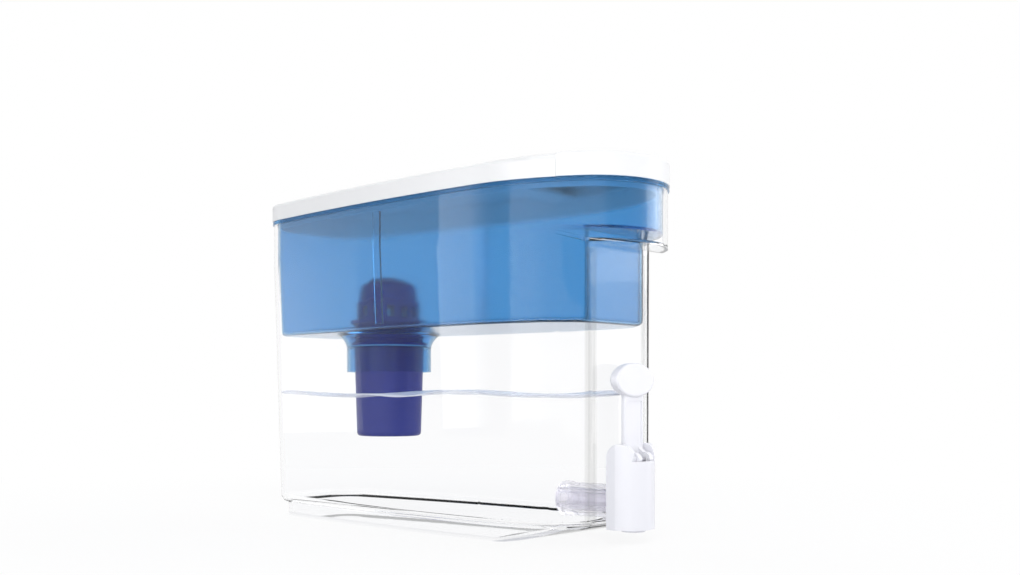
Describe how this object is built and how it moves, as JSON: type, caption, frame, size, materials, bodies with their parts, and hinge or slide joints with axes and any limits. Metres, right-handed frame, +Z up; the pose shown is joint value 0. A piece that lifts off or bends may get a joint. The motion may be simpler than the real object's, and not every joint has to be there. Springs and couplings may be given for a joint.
{
  "type": "water dispenser",
  "caption": "Countertop filtering water dispenser: long clear tank with a hanging blue reservoir and cartridge, white lid with a hinged fill flap, lever tap at the front.",
  "frame": {"origin": "middle of the overall box at the underside of the foot", "axes": "+Z up, -Y towards the tap, +X across the tank"},
  "size_m": [0.145, 0.384, 0.274],
  "materials": {
    "clear_plastic": "clear, smooth",
    "blue_plastic": "see-through blue, smooth",
    "white_plastic": "white, satin gloss",
    "navy_plastic": "dark blue, satin",
    "seal_rubber": "pale silicone",
    "steel": "plain",
    "filter_bed": "granular",
    "screen_plastic": "plain"
  },
  "bodies": {
    "tank": {"tank": "clear_plastic", "tap_housing": "white_plastic", "tap_shank": "clear_plastic", "tap_nut": "clear_plastic", "outer_gasket": "seal_rubber", "inner_gasket": "seal_rubber", "spout_nozzle": "white_plastic", "valve_bonnet": "white_plastic", "stem_ring": "seal_rubber", "lever_pin": "steel", "return_spring": "steel"},
    "reservoir": {"reservoir": "blue_plastic"},
    "lid": {"lid": "white_plastic", "flap_hinge_pin": "steel"},
    "flap": {"fill_flap": "white_plastic"},
    "filter": {"filter_shell": "navy_plastic", "filter_cap": "navy_plastic", "filter_seal": "seal_rubber", "filter_media": "filter_bed", "filter_top_screen": "screen_plastic", "filter_bottom_screen": "screen_plastic"},
    "lever": {"tap_lever": "white_plastic"},
    "valve": {"valve_stem": "white_plastic", "valve_seal": "seal_rubber"}
  },
  "joints": [
    {"name": "reservoir_lift", "type": "slide", "parent": "tank", "child": "reservoir", "axis": [0, 0, 1], "range_m": [0, 0.2]},
    {"name": "lid_lift", "type": "slide", "parent": "reservoir", "child": "lid", "axis": [0, 0, 1], "range_m": [0, 0.06]},
    {"name": "flap_hinge", "type": "hinge", "parent": "lid", "child": "flap", "pos_m": [0, -0.057, 0.2707], "axis": [-1, 0, 0], "range_deg": [0, 100]},
    {"name": "filter_lift", "type": "slide", "parent": "reservoir", "child": "filter", "axis": [0, 0, 1], "range_m": [0, 0.045]},
    {"name": "lever_pivot", "type": "hinge", "parent": "tank", "child": "lever", "pos_m": [0, -0.1782, 0.06], "axis": [1, 0, 0], "range_deg": [0, 40], "stiffness_Nm_per_rad": 0.03, "springref_deg": -11.46},
    {"name": "valve_lift", "type": "slide", "parent": "tank", "child": "valve", "axis": [0, 0, 1], "range_m": [0, 0.0052], "deforming": ["return_spring"]}
  ],
  "couplings": [
    {"joint": "valve_lift", "follows": "lever_pivot", "m_per_rad": 0.0074}
  ]
}
